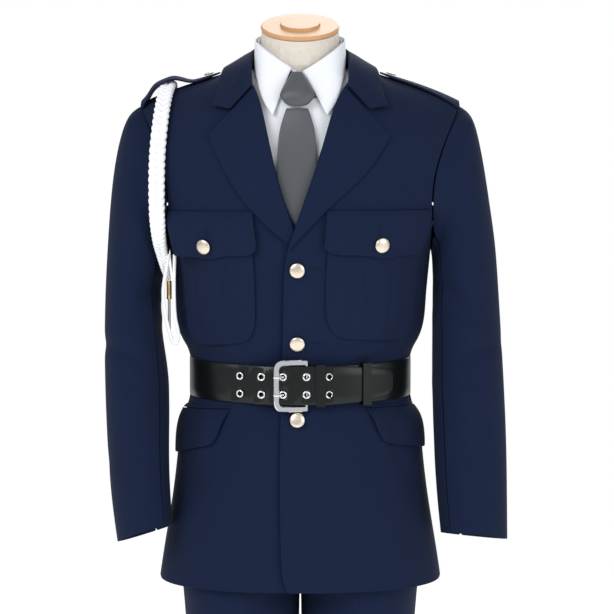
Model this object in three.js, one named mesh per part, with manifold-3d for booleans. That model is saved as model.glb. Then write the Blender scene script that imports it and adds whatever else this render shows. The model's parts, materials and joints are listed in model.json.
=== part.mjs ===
// A security guard uniform worn by a limbless dress form: a belted coat, a shirt, a tie, trousers and a lanyard.
// Millimetres. +Z is up, the front faces -Y, +X is the wearer's left, and the floor is Z = 0.
import * as THREE from 'three';
import { mergeVertices } from 'three/addons/utils/BufferGeometryUtils.js';
import Module from 'manifold-3d';

const wasm = await Module();
wasm.setup();

// ---- Driving dimensions -------------------------------------------------------------------------

const SEAM_GAP = 0.3; // between two pieces of cloth at a seam
const LAY_GAP = 0.4; // between a panel and what lies on it
const COAT_CLOTH = 1.6;
const SHIRT_CLOTH = 1.0;
const TROUSER_CLOTH = 1.4;
const BOXINESS = 2.3; // exponent of the body's sections, 2 is an ellipse

// The coat's outer form: a section at each height.
const COAT = [
  { z: 740, half: 188, front: 121, back: 131 },
  { z: 800, half: 179, front: 118, back: 131 },
  { z: 850, half: 170, front: 115, back: 128 },
  { z: 900, half: 163, front: 111, back: 121 },
  { z: 945, half: 161, front: 107, back: 111 },
  { z: 972, half: 154, front: 103, back: 101 },
  { z: 984, half: 143, front: 98, back: 93 },
  { z: 1046, half: 143, front: 98, back: 93 },
  { z: 1058, half: 153, front: 103, back: 97 },
  { z: 1075, half: 161, front: 108, back: 100 },
  { z: 1092, half: 165, front: 112, back: 104 },
  { z: 1134, half: 167, front: 118, back: 109 },
  { z: 1175, half: 171, front: 122, back: 115 },
  { z: 1200, half: 183, front: 123.5, back: 118 },
  { z: 1230, half: 196, front: 123, back: 121 },
  { z: 1262, half: 205, front: 121, back: 122 },
  { z: 1300, half: 215, front: 117, back: 121 },
  { z: 1340, half: 228, front: 112, back: 116 },
  { z: 1375, half: 240, front: 108, back: 110 },
  { z: 1440, half: 250, front: 104, back: 104 },
];
// The crest of the shoulder, outwards from the neck.
const SHOULDER = [
  { x: 0, z: 1440 },
  { x: 60, z: 1427 },
  { x: 100, z: 1414 },
  { x: 150, z: 1399 },
  { x: 190, z: 1384 },
  { x: 217, z: 1371 },
  { x: 250, z: 1352 },
];
const SHOULDER_FALL = 112; // how far below its crest the shoulder reaches its full depth
// The armhole as an angle round the body, 90 at the side seam.
const ARMPIT_Z = 1178;
const ARMHOLE = [
  { z: ARMPIT_Z, angle: 89.9 },
  { z: 1183, angle: 80 },
  { z: 1190, angle: 74 },
  { z: 1203, angle: 67.5 },
  { z: 1232, angle: 58.5 },
  { z: 1262, angle: 54 },
  { z: 1290, angle: 53 },
  { z: 1320, angle: 54.5 },
  { z: 1348, angle: 56.5 },
  { z: 1380, angle: 58.5 },
];
const NECK_X = 67; // where the shoulder seam meets the collar
const NECK_DROP = 24; // of the coat's back neckline below the shoulder's crest

const HEM_Z = 745;
const FRONT_EDGE = [
  { z: HEM_Z, left: -16, right: 20 },
  { z: 756, left: -22, right: 20 },
  { z: 787, left: -25, right: 20 },
  { z: 907, left: -26, right: 20 },
  { z: 1080, left: -22, right: 20 },
  { z: ARMPIT_Z, left: -20, right: 20 },
];
const UNDERLAP_DEPTH = 6.5; // how far the right front sinks under the left one
const UNDERLAP_EASE = 20;
// The roll lines of the lapels, which are the inner edges of the fronts above the lowest lapel point.
const ROLL = [
  { z: ARMPIT_Z, left: -20, right: 4 },
  { z: 1216, left: -7, right: -8 },
  { z: 1248, left: 5, right: -19 },
  { z: 1282, left: 16, right: -29.5 },
  { z: 1311, left: 26, right: -36 },
  { z: 1371, left: 43, right: -49 },
  { z: 1381, left: 46.5, right: -51.5 },
  { z: 1395, left: 56, right: -57.5 },
  { z: 1405, left: 65, right: -65 },
  { z: 1416, left: 66.5, right: -66.5 },
  { z: 1432, left: NECK_X, right: -NECK_X },
];
const LAPEL_TOP = { roll: 1395, left: [116, 1333.6], right: [-117, 1333.6] };
const LAPEL_EDGE = [
  { t: 0, left: [-18.5, 1184], right: [3, 1180] },
  { t: 0.4, left: [36, 1241], right: [-50, 1227] },
  { t: 0.75, left: [87, 1289.3], right: [-84, 1268.3] },
  { t: 1, left: LAPEL_TOP.left, right: LAPEL_TOP.right },
];

const FRONT_BUTTONS = { x: -3.5, heights: [1162.5, 1067, 968] };
const BUTTON_R = 10.5;
const SMALL_BUTTON_R = 7.5;

const BELT = { z: 1013, rise: 4, height: 50, thick: 3.2, lift: 0.5, layer: 6.6 };

// ---- Small mathematics --------------------------------------------------------------------------

const mix = (a, b, t) => a + (b - a) * t;
const clamp = (v, lo, hi) => Math.min(hi, Math.max(lo, v));
const ease = (t) => {
  const u = clamp(t, 0, 1);
  return u * u * (3 - 2 * u);
};
const radians = THREE.MathUtils.degToRad;
const vec = (x, y, z) => new THREE.Vector3(x, y, z);
const steps = (n) => Array.from({ length: n + 1 }, (_, i) => i / n);

// A smooth line, with no overshoot, through a table's column.
function smooth(table, key, column, value) {
  const n = table.length;
  const v = clamp(value, table[0][key], table[n - 1][key]);
  let i = 0;
  while (i < n - 2 && v >= table[i + 1][key]) i += 1;
  const slope = (k) => (table[k + 1][column] - table[k][column]) / (table[k + 1][key] - table[k][key]);
  const tangent = (k) => {
    if (k === 0) return slope(0);
    if (k === n - 1) return slope(n - 2);
    const product = slope(k - 1) * slope(k);
    return product <= 0 ? 0 : (2 * product) / (slope(k - 1) + slope(k));
  };
  const h = table[i + 1][key] - table[i][key];
  const u = (v - table[i][key]) / h;
  return (2 * u ** 3 - 3 * u ** 2 + 1) * table[i][column]
    + (u ** 3 - 2 * u ** 2 + u) * h * tangent(i)
    + (3 * u ** 2 - 2 * u ** 3) * table[i + 1][column]
    + (u ** 3 - u ** 2) * h * tangent(i + 1);
}

// A Catmull-Rom line through points that stand at equal shares of its length.
function through(points, t) {
  const last = points.length - 1;
  const at = clamp(t, 0, 1) * last;
  const i = Math.min(last - 1, Math.floor(at));
  const u = at - i;
  const p1 = points[i];
  const p2 = points[i + 1];
  const p0 = i > 0 ? points[i - 1] : p1.clone().multiplyScalar(2).sub(p2);
  const p3 = i < last - 1 ? points[i + 2] : p2.clone().multiplyScalar(2).sub(p1);
  const weights = [
    (-(u ** 3) + 2 * u ** 2 - u) / 2,
    (3 * u ** 3 - 5 * u ** 2 + 2) / 2,
    (-3 * u ** 3 + 4 * u ** 2 + u) / 2,
    (u ** 3 - u ** 2) / 2,
  ];
  return vec(0, 0, 0)
    .addScaledVector(p0, weights[0])
    .addScaledVector(p1, weights[1])
    .addScaledVector(p2, weights[2])
    .addScaledVector(p3, weights[3]);
}

// ---- The body's form ----------------------------------------------------------------------------

const crest = (x) => smooth(SHOULDER, 'x', 'z', Math.abs(x));
const arch = (q) => Math.sqrt(1 - (1 - clamp(q, 0, 1)) ** 2);
const power = (v) => Math.sign(v) * Math.abs(v) ** (2 / BOXINESS);
const angleAt = (x, z, inset = 0) => {
  const share = clamp(Math.abs(x) / (smooth(COAT, 'z', 'half', z) - inset), 0, 1);
  return (Math.sign(x) * Math.asin(share ** (BOXINESS / 2)) * 180) / Math.PI;
};

// A point of the coat's form, or of a form inside it. The angle is 0 at the front, 90 at +X and 180 at the back.
function body(angle, z, inset = 0, topInset = 0) {
  const sine = power(Math.sin(radians(angle)));
  const cosine = power(Math.cos(radians(angle)));
  const x = (smooth(COAT, 'z', 'half', z) - inset) * sine;
  const depth = smooth(COAT, 'z', cosine > 0 ? 'front' : 'back', z) - inset;
  const y = -depth * cosine * arch((crest(x) - topInset - z) / SHOULDER_FALL);
  return vec(x, y, z);
}

// The outward direction of the coat's form.
function bodyNormal(angle, z) {
  const across = body(angle + 0.5, z).sub(body(angle - 0.5, z));
  const up = body(angle, z + 1).sub(body(angle, z - 1));
  return across.cross(up).normalize();
}

// A point at x on the coat's front, or on its back, lifted off the cloth.
const onCoat = (x, z, lift = 0) => {
  const angle = angleAt(x, z);
  return body(angle, z).addScaledVector(bodyNormal(angle, z), lift);
};

// ---- Solids -------------------------------------------------------------------------------------

function geometryOf(points, triangles) {
  const geometry = new THREE.BufferGeometry();
  geometry.setAttribute('position', new THREE.Float32BufferAttribute(points.flatMap((p) => p.toArray()), 3));
  geometry.setIndex(triangles);
  return geometry;
}

// The directions out of a grid of points, away from a point on its inner side.
function gridNormals(grid, inner) {
  const rows = grid.length;
  const columns = grid[0].length;
  const normals = grid.map((row, r) => row.map((_, c) => {
    const up = grid[Math.min(rows - 1, r + 1)][c].clone().sub(grid[Math.max(0, r - 1)][c]);
    const across = row[Math.min(columns - 1, c + 1)].clone().sub(row[Math.max(0, c - 1)]);
    return across.cross(up).normalize();
  }));
  const r = Math.floor(rows / 2);
  const c = Math.floor(columns / 2);
  const sign = Math.sign(normals[r][c].dot(grid[r][c].clone().sub(inner))) || 1;
  normals.forEach((row) => row.forEach((n) => n.multiplyScalar(sign)));
  return { normals, sign };
}

// A wall of cloth: the grid is its outer face, and its inner face lies one thickness inside.
// At a seam, seams() names the axis across it, so that both edges are cut square and don't meet.
function sheet(grid, thickness, { inner = vec(0, 0, grid[0][0].z), seams = () => null } = {}) {
  const rows = grid.length;
  const columns = grid[0].length;
  const { normals, sign } = gridNormals(grid, inner);
  normals.forEach((row, r) => row.forEach((n, c) => {
    const axis = seams(r, c, rows, columns);
    if (axis) n[axis] = 0;
    n.normalize();
  }));
  const outerFace = grid.flat();
  const innerFace = grid.flatMap((row, r) => row.map((p, c) => p.clone().addScaledVector(normals[r][c], -thickness)));
  const count = rows * columns;
  const triangles = [];
  const quad = (a, b, c, d) => {
    if (sign > 0) triangles.push(a, b, c, a, c, d);
    else triangles.push(a, c, b, a, d, c);
  };
  for (let r = 0; r < rows - 1; r += 1) {
    for (let c = 0; c < columns - 1; c += 1) {
      const a = r * columns + c;
      quad(a, a + 1, a + columns + 1, a + columns);
      quad(count + a, count + a + columns, count + a + columns + 1, count + a + 1);
    }
  }
  for (let c = 0; c < columns - 1; c += 1) {
    const top = (rows - 1) * columns + c;
    quad(c + 1, c, count + c, count + c + 1);
    quad(top, top + 1, count + top + 1, count + top);
  }
  for (let r = 0; r < rows - 1; r += 1) {
    const a = r * columns;
    const b = a + columns - 1;
    quad(a, a + columns, count + a + columns, count + a);
    quad(b + columns, b, count + b, count + b + columns);
  }
  return geometryOf([...outerFace, ...innerFace], triangles);
}

// A solid through closed rings, the first at one end and the last at the other.
function loft(rings) {
  const sides = rings[0].length;
  const points = rings.flat();
  const triangles = [];
  for (let r = 0; r < rings.length - 1; r += 1) {
    for (let c = 0; c < sides; c += 1) {
      const a = r * sides + c;
      const b = r * sides + ((c + 1) % sides);
      triangles.push(a, b, b + sides, a, b + sides, a + sides);
    }
  }
  const middle = (ring) => ring.reduce((sum, p) => sum.add(p), vec(0, 0, 0)).divideScalar(sides);
  const start = points.push(middle(rings[0])) - 1;
  const end = points.push(middle(rings[rings.length - 1])) - 1;
  const top = (rings.length - 1) * sides;
  for (let c = 0; c < sides; c += 1) {
    triangles.push(start, (c + 1) % sides, c);
    triangles.push(end, top + c, top + ((c + 1) % sides));
  }
  return geometryOf(points, triangles);
}

// A ring of points about a centre, in the plane of two half axes.
const ring = (centre, first, second, sides, exponent = 2) => steps(sides).slice(0, sides).map((t) => {
  const shape = (v) => Math.sign(v) * Math.abs(v) ** (2 / exponent);
  return centre.clone()
    .addScaledVector(first, shape(Math.cos(2 * Math.PI * t)))
    .addScaledVector(second, shape(Math.sin(2 * Math.PI * t)));
});

function toManifold(geometry) {
  const bare = geometry.clone();
  bare.deleteAttribute('normal');
  bare.deleteAttribute('uv');
  const merged = mergeVertices(bare);
  return new wasm.Manifold(new wasm.Mesh({
    numProp: 3,
    vertProperties: new Float32Array(merged.attributes.position.array),
    triVerts: new Uint32Array(merged.index.array),
  }));
}

function fromManifold(solid) {
  const mesh = solid.getMesh();
  const geometry = new THREE.BufferGeometry();
  geometry.setAttribute('position', new THREE.BufferAttribute(new Float32Array(mesh.vertProperties), 3));
  geometry.setIndex(Array.from(mesh.triVerts));
  return geometry;
}

// ---- Materials ----------------------------------------------------------------------------------

const material = (color, roughness, metalness = 0) => new THREE.MeshStandardMaterial({ color, roughness, metalness });
const navy = () => material(0x1c2a4a, 0.85);
const white = () => material(0xf2f3f5, 0.8);
const steelGrey = () => material(0x55575c, 0.55);
const leather = () => material(0x121614, 0.45);
const chrome = () => material(0xc9ccd0, 0.2, 1);
const champagne = () => material(0xd3c3a6, 0.35, 1);
const brass = () => material(0xc39a4a, 0.35, 1);
const linen = () => material(0xd8cfc0, 0.95);
const wood = () => material(0xc89666, 0.5);
const steel = () => material(0x8c8f94, 0.35, 1);

const uniform = new THREE.Group();
function add(name, geometry, look) {
  const mesh = new THREE.Mesh(geometry, look);
  mesh.name = name;
  uniform.add(mesh);
  return mesh;
}
const sideName = (side) => (side > 0 ? 'left' : 'right');

// ---- The coat's fronts and backs ----------------------------------------------------------------

const armholeAngle = (z) => smooth(ARMHOLE, 'z', 'angle', z);

// How far the right front lies under the left one.
function underlap(x, z) {
  const edge = z < ARMPIT_Z
    ? smooth(FRONT_EDGE, 'z', 'left', z)
    : smooth(ROLL, 'z', 'left', z);
  return UNDERLAP_DEPTH * ease((x - edge + UNDERLAP_EASE) / (UNDERLAP_EASE - 2));
}

// A panel's point above the armpit. Its height is measured down from the crest of the shoulder.
function upperPoint(across, up, innerAngle, neckDrop, inset, topInset, outerAngle = armholeAngle) {
  let z = mix(ARMPIT_Z, 1400, up);
  let angle = 0;
  for (let turn = 0; turn < 24; turn += 1) {
    angle = mix(innerAngle(z), outerAngle(z), across);
    const x = body(angle, z, inset).x;
    const top = crest(x) - topInset;
    z = mix(top - neckDrop(x), ARMPIT_Z, (1 - up) ** 1.7);
  }
  return { angle, z };
}

const neckline = (drop, neckX) => (x) => (Math.abs(x) < neckX ? drop * (1 - (x / neckX) ** 2) : 0);

function coatFront(side) {
  const column = sideName(side);
  const hemRise = (across) => 4 * across ** 2;
  const shifted = (angle, z) => {
    const p = body(angle, z);
    if (side < 0) p.addScaledVector(bodyNormal(angle, z), -underlap(p.x, z));
    return p.add(vec(0, -SEAM_GAP / 2, 0));
  };
  const lowerHeights = [0, 0.03, 0.1, 0.24, 0.38, 0.48, 0.553, 0.6, 0.69, 0.73, 0.77, 0.82, 0.9, 1];
  const columns = steps(10);
  const lower = lowerHeights.map((up) => columns.map((across) => {
    const z = mix(HEM_Z + hemRise(across), ARMPIT_Z, up);
    const inner = angleAt(smooth(FRONT_EDGE, 'z', column, z), z);
    return shifted(mix(inner, side * 90, across), z);
  }));
  const innerAngle = (z) => angleAt(smooth(ROLL, 'z', column, z), z);
  const upper = steps(9).slice(1).map((up) => columns.map((across) => {
    const at = upperPoint(across, up, innerAngle, () => 0, 0, 0, (z) => side * armholeAngle(z));
    return shifted(at.angle, at.z);
  }));
  const seams = (r, c, rows, count) => (r === rows - 1 || (c === count - 1 && r < lower.length) ? 'y' : null);
  add(`coat_front_${column}`, sheet([...lower, ...upper], COAT_CLOTH, { seams }), navy());
}

function coatBack(side) {
  const column = sideName(side);
  const shifted = (angle, z) => body(side * (180 - angle), z).add(vec(side * SEAM_GAP / 2, SEAM_GAP / 2, 0));
  const columns = steps(8);
  const lower = [0, 0.1, 0.24, 0.38, 0.48, 0.553, 0.69, 0.73, 0.78, 0.88, 1].map((up) => columns.map((across) => {
    const z = mix(HEM_Z + 4 * across ** 2, ARMPIT_Z, up);
    return shifted(90 * across, z);
  }));
  const upper = steps(8).slice(1).map((up) => columns.map((across) => {
    const at = upperPoint(across, up, () => 0, neckline(NECK_DROP, NECK_X), 0, 0);
    return shifted(at.angle, at.z);
  }));
  const seams = (r, c, rows, count) => {
    if (c === 0) return 'x';
    const crestRow = r === rows - 1 && Math.abs(upper[upper.length - 1][c].y) < 1;
    return crestRow || (c === count - 1 && r < lower.length) ? 'y' : null;
  };
  add(`coat_back_${column}`, sheet([...lower, ...upper], COAT_CLOTH, { seams }), navy());
}

// ---- Sleeves ------------------------------------------------------------------------------------

// Each row is a ring of the sleeve: its outermost point, its innermost point next to the body, half its depth,
// how far forward its middle is, and how much its front edge is higher than its middle, as a slope.
const SLEEVE = {
  left: [
    { outX: 226, outZ: 1367, inX: 173.5, inZ: 1169, deep: 73, forward: 1, pitch: 0 },
    { outX: 236, outZ: 1331, inX: 174, inZ: 1156, deep: 72.5, forward: 2, pitch: 0 },
    { outX: 244, outZ: 1288, inX: 174, inZ: 1137, deep: 71, forward: 4, pitch: 0.02 },
    { outX: 251, outZ: 1240, inX: 174, inZ: 1110, deep: 69, forward: 7, pitch: 0.03 },
    { outX: 258.5, outZ: 1190, inX: 173.5, inZ: 1080, deep: 67, forward: 10, pitch: 0.05 },
    { outX: 262, outZ: 1135, inX: 173, inZ: 1045, deep: 65, forward: 14, pitch: 0.06 },
    { outX: 266, outZ: 1070, inX: 173, inZ: 1005, deep: 62, forward: 20, pitch: 0.08 },
    { outX: 269.5, outZ: 1005, inX: 174, inZ: 960, deep: 59, forward: 27, pitch: 0.1 },
    { outX: 272.5, outZ: 940, inX: 175.5, inZ: 912, deep: 57, forward: 33, pitch: 0.13 },
    { outX: 273.5, outZ: 872, inX: 179, inZ: 860, deep: 55, forward: 38, pitch: 0.15 },
    { outX: 274, outZ: 803, inX: 184, inZ: 812, deep: 53, forward: 42, pitch: 0.18 },
  ],
  right: [
    { outX: 225.5, outZ: 1367, inX: 173.5, inZ: 1169, deep: 73, forward: 1, pitch: 0 },
    { outX: 237.5, outZ: 1334, inX: 176, inZ: 1156, deep: 72.5, forward: 2, pitch: 0 },
    { outX: 245.5, outZ: 1292, inX: 180, inZ: 1138, deep: 71, forward: 5, pitch: 0.02 },
    { outX: 250.5, outZ: 1245, inX: 183, inZ: 1112, deep: 69, forward: 8, pitch: 0.03 },
    { outX: 254, outZ: 1190, inX: 183, inZ: 1080, deep: 67, forward: 14, pitch: 0.05 },
    { outX: 257, outZ: 1130, inX: 176, inZ: 1046, deep: 65, forward: 22, pitch: 0.06 },
    { outX: 258, outZ: 1066, inX: 171, inZ: 1006, deep: 62, forward: 32, pitch: 0.08 },
    { outX: 256.5, outZ: 1000, inX: 170.5, inZ: 960, deep: 59, forward: 42, pitch: 0.1 },
    { outX: 253.5, outZ: 935, inX: 171, inZ: 912, deep: 57, forward: 51, pitch: 0.13 },
    { outX: 249, outZ: 868, inX: 169, inZ: 866, deep: 54, forward: 58, pitch: 0.15 },
    { outX: 240, outZ: 803, inX: 166, inZ: 826, deep: 50, forward: 63, pitch: 0.18 },
  ],
};
const SLEEVE_SEAMS = { front: 138, back: 250 }; // round the sleeve, from its outermost line towards the front
const SHOULDER_TIP_Z = 1374.5;

// The armhole as a ring of the same turns as the sleeve: 0 at the shoulder, 90 at the front, 180 in the armpit.
function armhole(side, turn) {
  const z = mix(ARMPIT_Z + 0.5, SHOULDER_TIP_Z, (1 + Math.cos(radians(turn))) / 2);
  const front = Math.sin(radians(turn)) >= 0;
  const angle = front ? side * armholeAngle(z) : side * (180 - armholeAngle(z));
  const top = ease((z - 1350) / (SHOULDER_TIP_Z - 1350));
  const point = body(angle, z);
  point.y *= 1 - 0.999 * top * (1 - Math.abs(Math.sin(radians(turn))));
  point.y += front ? -SEAM_GAP / 2 : SEAM_GAP / 2;
  return point.add(vec(side * SEAM_GAP * 3, 0, 0));
}

function sleeveRing(side, row, turn) {
  const outer = vec(side * row.outX, -row.forward, row.outZ);
  const inner = vec(side * row.inX, -row.forward, row.inZ);
  const middle = outer.clone().add(inner).multiplyScalar(0.5);
  const across = outer.clone().sub(inner).multiplyScalar(0.5);
  const forward = vec(0, -row.deep, row.deep * row.pitch);
  return middle.addScaledVector(across, Math.cos(radians(turn))).addScaledVector(forward, Math.sin(radians(turn)));
}

function sleevePoint(side, turn, along) {
  const rows = SLEEVE[sideName(side)];
  const line = [armhole(side, turn), ...rows.map((row) => sleeveRing(side, row, turn))];
  return through(line, along);
}

function sleeve(side) {
  const middle = vec(side * 210, -8, 1150);
  const notch = 1.3;
  const alongRows = steps(12).map((t) => t ** 0.92);
  const panel = (from, to, columns) => alongRows.map((along) => steps(columns)
    .map((t) => sleevePoint(side, mix(from, to, t), along)));
  const top = panel(SLEEVE_SEAMS.back - 360 + notch, SLEEVE_SEAMS.front - notch, 10);
  const under = panel(SLEEVE_SEAMS.front + notch, SLEEVE_SEAMS.back - notch, 5);
  add(`sleeve_top_${sideName(side)}`, sheet(top, COAT_CLOTH, { inner: middle }), navy());
  add(`sleeve_under_${sideName(side)}`, sheet(under, COAT_CLOTH, { inner: middle }), navy());
}

// ---- Collar, lapels and epaulettes --------------------------------------------------------------

// Half of the collar from its front end to the middle of the back. The base is on the neckline, the roll is the
// fold at the top, and the edge lies on the coat.
const COLLAR = [
  { base: [62, -60, 1393], roll: [60.5, -79, 1397], middle: [90, -93, 1365], edge: [113.5, -80.5, 1369.5] },
  { base: [62.5, -40, 1406], roll: [62.5, -52, 1416], middle: [82, -66, 1402], edge: [106, -56, 1391.5] },
  { base: [62.5, -16, 1419], roll: [63, -20, 1433], middle: [76, -34, 1424], edge: [102.5, -27, 1413] },
  { base: [62, 8, 1422], roll: [62, 12, 1442], middle: [75, 14, 1435], edge: [94, 12, 1421] },
  { base: [49, 44, 1419], roll: [49, 46, 1448], middle: [62, 52, 1437], edge: [70, 58, 1410] },
  { base: [26, 60, 1416], roll: [26, 62, 1449], middle: [30, 74, 1433], edge: [36, 80, 1404] },
  { base: [0, 63, 1416], roll: [0, 65, 1449], middle: [0, 79, 1433], edge: [0, 85, 1403] },
];
const COLLAR_CLOTH = 2;

function collar() {
  const mirrored = (p, side) => vec(p[0] * side, p[1], p[2]);
  const stations = [
    ...COLLAR.map((row) => ({ row, side: 1 })),
    ...COLLAR.slice(0, -1).reverse().map((row) => ({ row, side: -1 })),
  ];
  const line = (key) => stations.map(({ row, side }) => mirrored(row[key], side));
  const lines = ['base', 'roll', 'middle', 'edge'].map(line);
  const grid = steps(22).map((t) => {
    const [base, roll, middle, edge] = lines.map((points) => through(points, t));
    const up = vec(0, 0, 1);
    const front = ease(-edge.y / 30);
    edge.add(vec(0, -3.5 * front, 4.2));
    middle.add(vec(0, -3.5 * front, 4.2));
    roll.add(vec(0, -1.5 * front, 0));
    base.add(vec(0, -6 * front, 6 * front + 2));
    const out = middle.clone().sub(roll).setZ(0).normalize();
    const crown = roll.clone().addScaledVector(out, 2.5).addScaledVector(up, 2);
    const turned = roll.clone().addScaledVector(out, 6).addScaledVector(up, -1);
    return [base, roll, crown, turned, middle, edge];
  });
  add('collar', sheet(grid, COLLAR_CLOTH, { inner: vec(0, 75, 1430) }), navy());
}

// A point t of the way up a lapel's roll line or along its outer edge.
function lapelLine(side, t) {
  const column = sideName(side);
  const z = mix(LAPEL_EDGE[0][column][1], LAPEL_TOP.roll, t);
  const points = LAPEL_EDGE.map((row) => ({ t: row.t, x: row[column][0], z: row[column][1] }));
  return {
    roll: [smooth(ROLL, 'z', column, z) + side * 0.8, z],
    edge: [smooth(points, 't', 'x', t), smooth(points, 't', 'z', t)],
  };
}

function lapel(side) {
  const thickness = side < 0 ? 1.4 : 1.8;
  const grid = steps(9).map((up) => {
    const t = mix(0.03, 1, up);
    const { roll, edge } = lapelLine(side, t);
    return steps(5).map((across) => {
      const x = mix(roll[0], edge[0], across);
      const z = mix(roll[1], edge[1], across);
      const p = onCoat(x, z, (side < 0 ? 2.38 : 0.9) + thickness + (1.2 * (1 - across) ** 2) * up ** 2);
      if (side < 0) p.addScaledVector(bodyNormal(angleAt(x, z), z), -underlap(x, z));
      return p;
    });
  });
  add(`lapel_${sideName(side)}`, sheet(grid, thickness), navy());
}

// A point on top of the shoulder, y in front of or behind its crest.
function onShoulder(x, y, lift = 0) {
  const height = (px, py) => {
    let z = crest(px);
    for (let turn = 0; turn < 4; turn += 1) {
      const share = (Math.abs(px) / smooth(COAT, 'z', 'half', z)) ** BOXINESS;
      const depth = smooth(COAT, 'z', py < 0 ? 'front' : 'back', z) * (1 - share) ** (1 / BOXINESS);
      const q = 1 - Math.sqrt(1 - clamp(Math.abs(py) / depth, 0, 0.99) ** 2);
      z = crest(px) - SHOULDER_FALL * q;
    }
    return z;
  };
  const normal = vec(height(x - 1, y) - height(x + 1, y), height(x, y - 1) - height(x, y + 1), 2).normalize();
  return vec(x, y, height(x, y)).addScaledVector(normal, lift);
}

const EPAULETTE = { outX: 207, tipX: 104, half: 25, tipHalf: 19, point: 0.86, thick: 2.2, buttonX: 118 };
const PLAIT_UNDER = { x: 172, half: 22, rise: 14.5 }; // where the plait passes under the right epaulette

function epauletteLift(side, x) {
  const bump = side < 0 ? PLAIT_UNDER.rise * ease(1.5 - Math.abs(Math.abs(x) - PLAIT_UNDER.x) / PLAIT_UNDER.half) : 0;
  return 1.3 + EPAULETTE.thick + bump;
}

function epaulette(side) {
  const { outX, tipX, half, tipHalf, point, thick, buttonX } = EPAULETTE;
  const grid = steps(11).map((t) => {
    const x = side * mix(outX, tipX, t);
    const wide = t < point ? mix(half, tipHalf, t / point) : mix(tipHalf, 2.5, (t - point) / (1 - point));
    return [-1, -0.5, 0, 0.5, 1].map((v) => onShoulder(x, v * wide - 1, epauletteLift(side, x)));
  });
  const look = navy();
  add(`epaulette_${sideName(side)}`, sheet(grid, thick, { inner: vec(side * 155, 0, 1300) }), look);
  const seat = onShoulder(side * buttonX, -3, 0);
  const out = onShoulder(side * buttonX, -3, 1).sub(seat);
  const lift = epauletteLift(side, side * buttonX) + LAY_GAP;
  button(`epaulette_button_${sideName(side)}`, seat.addScaledVector(out, lift), out, SMALL_BUTTON_R);
}

// A domed metal button whose flat back is at a point and whose axis is given.
function button(name, at, axis, radius) {
  const dome = [[0, 0], [0.55, 0], [0.93, 0.08], [1, 0.18], [0.93, 0.3], [0.6, 0.42], [0, 0.48]];
  const profile = dome.map(([r, h]) => new THREE.Vector2(r * radius, h * radius));
  const geometry = new THREE.LatheGeometry(profile, 12).rotateX(Math.PI / 2);
  const mesh = add(name, geometry, champagne());
  mesh.quaternion.setFromUnitVectors(vec(0, 0, 1), axis.clone().normalize());
  mesh.position.copy(at);
}

// ---- Pockets ------------------------------------------------------------------------------------

// The breast pockets in their own places: x of the edges, the pleat's folds at its top and bottom.
const BREAST = {
  left: { inX: 33.5, outX: 149, bottomIn: 1074, bottomOut: 1070, foldTop: [81, 128], foldBottom: [91.5, 123] },
  right: { inX: 58, outX: 149, bottomIn: 1068, bottomOut: 1063, foldTop: [89, 140], foldBottom: [104, 133] },
};
const BREAST_TOP = 1224;
const BREAST_CORNER = 24;
const PATCH_CLOTH = 1.4;
const POCKET_LIFT = 3;
const PLEAT_RISE = 1.2;
// The edge of a breast flap: how far across it is, and how far below its seam, as shares.
const FLAP_EDGE = [
  { across: 0, drop: 0.8 },
  { across: 0.06, drop: 0.93 },
  { across: 0.14, drop: 0.96 },
  { across: 0.36, drop: 0.965 },
  { across: 0.56, drop: 1.06 },
  { across: 0.76, drop: 0.975 },
  { across: 0.94, drop: 0.965 },
  { across: 1, drop: 0.95 },
];
const BREAST_FLAP = {
  left: { inX: 32.5, outX: 159, seam: 1238.5, deep: 58, buttonX: 102, buttonZ: 1195.5 },
  right: { inX: 57, outX: 160, seam: 1237, deep: 57.5, buttonX: 118.8, buttonZ: 1194 },
};

const cornerDrop = (distance, radius) => (distance >= radius ? 0 : radius - Math.sqrt(radius ** 2 - (radius - distance) ** 2));

function breastPocket(side) {
  const row = BREAST[sideName(side)];
  const inner = angleAt(side * row.inX, 1150);
  const outer = angleAt(side * row.outX, 1150);
  const folds = [0, 1].map((i) => [row.foldTop[i], row.foldBottom[i]].map((x, j) => {
    const angle = angleAt(side * x, j ? 1075 : 1180);
    return (angle - inner) / (outer - inner);
  }));
  const share = (i, up) => mix(folds[i][1], folds[i][0], up);
  const width = row.outX - row.inX + 14;
  const grid = steps(5).map((up) => {
    const [first, second] = [share(0, up), share(1, up)];
    const stops = [0, 0.07, 0.16, first - 0.012, first + 0.012, (first + second) / 2, second - 0.012, second + 0.012,
      mix(second, 1, 0.5), 0.93, 1];
    return stops.map((across, i) => {
      const edge = Math.min(across, 1 - across) * width;
      const bottom = mix(row.bottomIn, row.bottomOut, across) + cornerDrop(edge, BREAST_CORNER);
      const z = mix(bottom, BREAST_TOP, up);
      const angle = mix(inner, outer, across);
      const lift = POCKET_LIFT + (i > 3 && i < 7 ? PLEAT_RISE : 0);
      return body(angle, z).addScaledVector(bodyNormal(angle, z), lift);
    });
  });
  add(`breast_pocket_${sideName(side)}`, sheet(grid, PATCH_CLOTH), navy());
}

// The right flap's outer corner stands off the coat, over the lanyard.
const flapSplay = (side, across, down) => (side < 0 ? ease((across - 0.55) / 0.45) * down : 0);
const FLAP_LIFT = 7.6;

function flapPoint(side, across, down, lift) {
  const row = BREAST_FLAP[sideName(side)];
  const inner = angleAt(side * row.inX, 1210);
  const outer = angleAt(side * row.outX, 1210);
  const z = row.seam - row.deep * down;
  const angle = mix(inner, outer, across);
  const splay = flapSplay(side, across, down);
  return body(angle, z)
    .addScaledVector(bodyNormal(angle, z), mix(LAY_GAP + 1.6, lift, ease(down * 6)))
    .add(vec(-9 * splay, -17 * splay, 0));
}

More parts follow.
